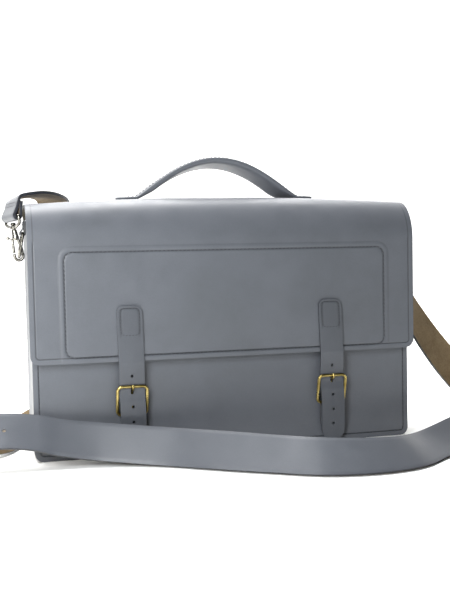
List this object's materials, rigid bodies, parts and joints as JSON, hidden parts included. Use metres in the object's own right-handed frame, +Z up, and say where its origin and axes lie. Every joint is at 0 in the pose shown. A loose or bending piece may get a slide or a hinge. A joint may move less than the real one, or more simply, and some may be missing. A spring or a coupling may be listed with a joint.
{
  "type": "leather document case",
  "caption": "Slim leather document case with a full-width front flap, buckled billets, a carrying handle and a clip-on shoulder strap lying round it.",
  "frame": {"origin": "middle of the case's base on the surface it stands on, halfway between its ends and between its front and back panels", "axes": "+X towards the viewer's right as the front is faced, +Y from the front to the back, +Z up"},
  "size_m": [0.5911, 0.29, 0.3038],
  "materials": {
    "slate_leather": "smooth slate-blue bridle leather, lightly waxed",
    "handle_leather": "smooth slate-blue bridle leather, polished by use",
    "strap_leather": "slate-blue grain side, undyed tan flesh side",
    "aged_brass": "brushed, slightly tarnished",
    "nickel_plate": "polished nickel plate"
  },
  "bodies": {
    "case": {"front_panel": "slate_leather", "gusset": "slate_leather", "back_and_flap": "slate_leather", "flap_pocket": "slate_leather", "billet_left": "slate_leather", "billet_right": "slate_leather", "buckle_chape_left": "slate_leather", "buckle_chape_right": "slate_leather", "ring_tab_left": "slate_leather", "ring_tab_right": "slate_leather", "handle": "handle_leather", "shoulder_strap": "strap_leather", "buckle_frame_left": "aged_brass", "buckle_frame_right": "aged_brass", "buckle_prong_left": "aged_brass", "buckle_prong_right": "aged_brass", "ring_left": "nickel_plate", "ring_right": "nickel_plate", "hook_eye_left": "nickel_plate", "hook_eye_right": "nickel_plate"},
    "hook_left": {"hook_body_left": "nickel_plate"},
    "gate_left": {"hook_gate_left": "nickel_plate"},
    "hook_right": {"hook_body_right": "nickel_plate"},
    "gate_right": {"hook_gate_right": "nickel_plate"}
  },
  "joints": [
    {"name": "swivel_left", "type": "hinge", "parent": "case", "child": "hook_left", "pos_m": [-0.21313, 0, 0.24037], "axis": [-0.1478, 0, 0.989], "range_deg": [-20, 20]},
    {"name": "gate_hinge_left", "type": "hinge", "parent": "hook_left", "child": "gate_left", "pos_m": [-0.21317, 0, 0.21964], "axis": [0, -1, 0], "range_deg": [0, 14], "stiffness_Nm_per_rad": 0.01},
    {"name": "swivel_right", "type": "hinge", "parent": "case", "child": "hook_right", "pos_m": [0.21744, 0, 0.16452], "axis": [0.2588, 0, -0.9659], "range_deg": [-20, 20]},
    {"name": "gate_hinge_right", "type": "hinge", "parent": "hook_right", "child": "gate_right", "pos_m": [0.21513, 0, 0.18513], "axis": [0, -1, 0], "range_deg": [0, 14], "stiffness_Nm_per_rad": 0.01}
  ]
}
